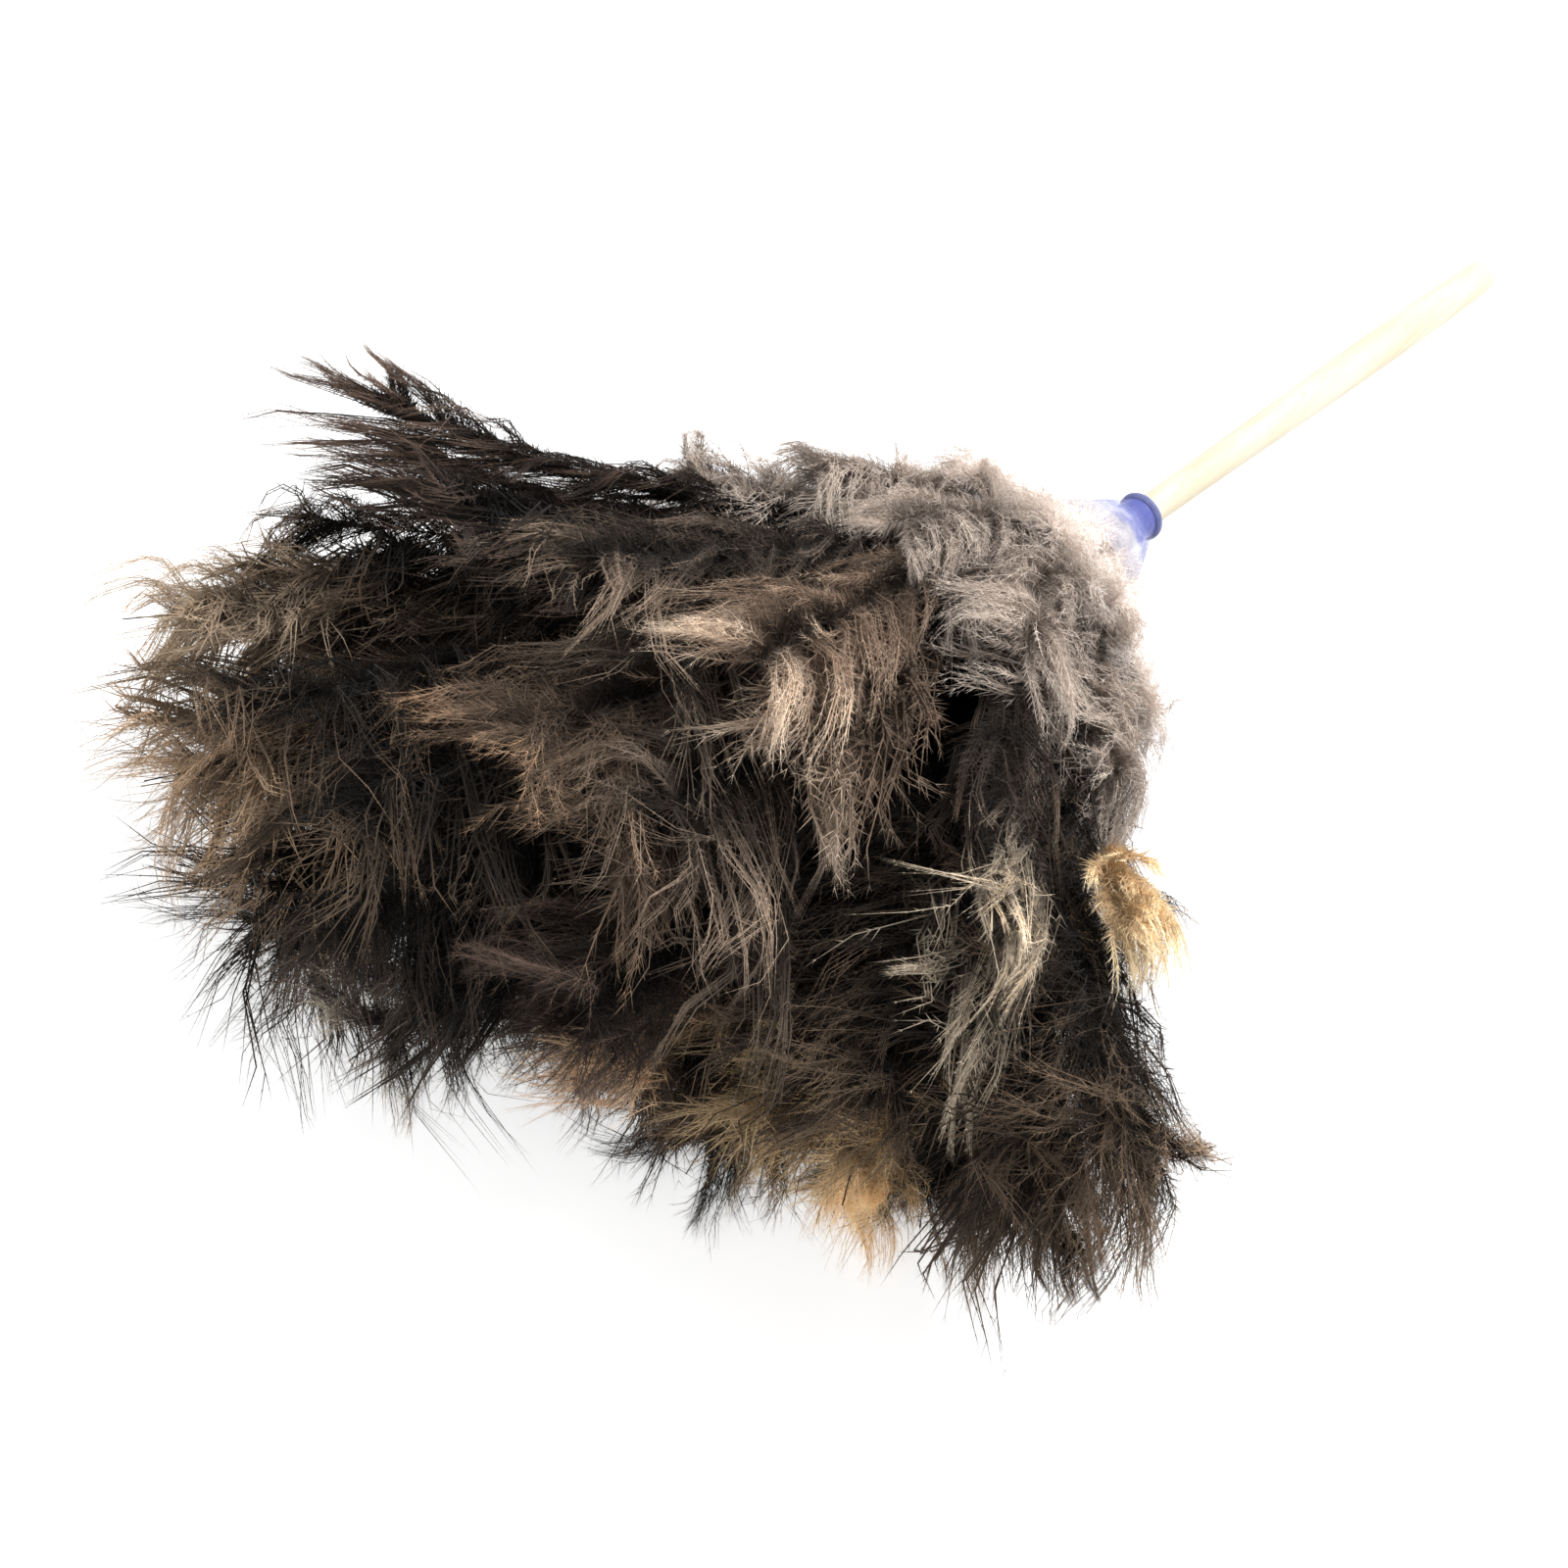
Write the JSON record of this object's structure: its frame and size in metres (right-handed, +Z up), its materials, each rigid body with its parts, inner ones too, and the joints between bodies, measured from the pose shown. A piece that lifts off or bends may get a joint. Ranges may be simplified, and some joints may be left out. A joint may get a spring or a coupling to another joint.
{
  "type": "ostrich feather duster",
  "caption": "Feather duster with a turned wooden handle, a moulded collar cap, a film skirt and rows of soft plumes that spread into a wide head.",
  "frame": {"origin": "on the table, under the centre of the bounding box of the lying duster", "axes": "+Z up, +X along the duster from the feather tips to the butt of the handle, +Y sideways across the head"},
  "size_m": [0.5992, 0.4318, 0.2076],
  "materials": {
    "pale_wood": "satin",
    "blue_plastic": "gloss",
    "skirt_film": "satin",
    "twine": "matte",
    "down_grey": "matte",
    "feather_grey": "matte",
    "feather_dark": "matte",
    "feather_brown": "matte"
  },
  "bodies": {
    "root": {"handle": "pale_wood", "collar_cap": "blue_plastic", "feather_skirt": "skirt_film", "short_plume_binding": "twine", "short_plume_01": "down_grey", "short_plume_02": "down_grey", "short_plume_03": "down_grey", "short_plume_04": "down_grey", "short_plume_05": "down_grey", "short_plume_06": "down_grey", "short_plume_07": "down_grey", "short_plume_08": "down_grey", "short_plume_09": "down_grey", "short_plume_10": "down_grey", "middle_plume_binding": "twine", "middle_plume_01": "feather_grey", "middle_plume_02": "feather_grey", "middle_plume_03": "feather_grey", "middle_plume_04": "feather_grey", "middle_plume_05": "feather_grey", "middle_plume_06": "feather_grey", "middle_plume_07": "feather_grey", "middle_plume_08": "feather_grey", "middle_plume_09": "feather_grey", "middle_plume_10": "feather_grey", "middle_plume_11": "feather_grey", "middle_plume_12": "feather_grey", "long_plume_binding": "twine", "long_plume_01": "feather_dark", "long_plume_02": "feather_dark", "long_plume_03": "feather_dark", "long_plume_04": "feather_dark", "long_plume_05": "feather_dark", "long_plume_06": "feather_dark", "long_plume_07": "feather_dark", "long_plume_08": "feather_dark", "long_plume_09": "feather_dark", "long_plume_10": "feather_dark", "long_plume_11": "feather_dark", "long_plume_12": "feather_dark", "long_plume_13": "feather_dark", "long_plume_14": "feather_dark", "inner_plume_binding": "twine", "inner_plume_01": "feather_dark", "inner_plume_02": "feather_dark", "inner_plume_03": "feather_dark", "inner_plume_04": "feather_dark", "inner_plume_05": "feather_dark", "inner_plume_06": "feather_dark", "inner_plume_07": "feather_dark", "inner_plume_08": "feather_dark", "inner_plume_09": "feather_dark", "core_plume_binding": "twine", "core_plume_01": "feather_brown", "core_plume_02": "feather_brown", "core_plume_03": "feather_brown", "core_plume_04": "feather_brown"}
  },
  "joints": []
}
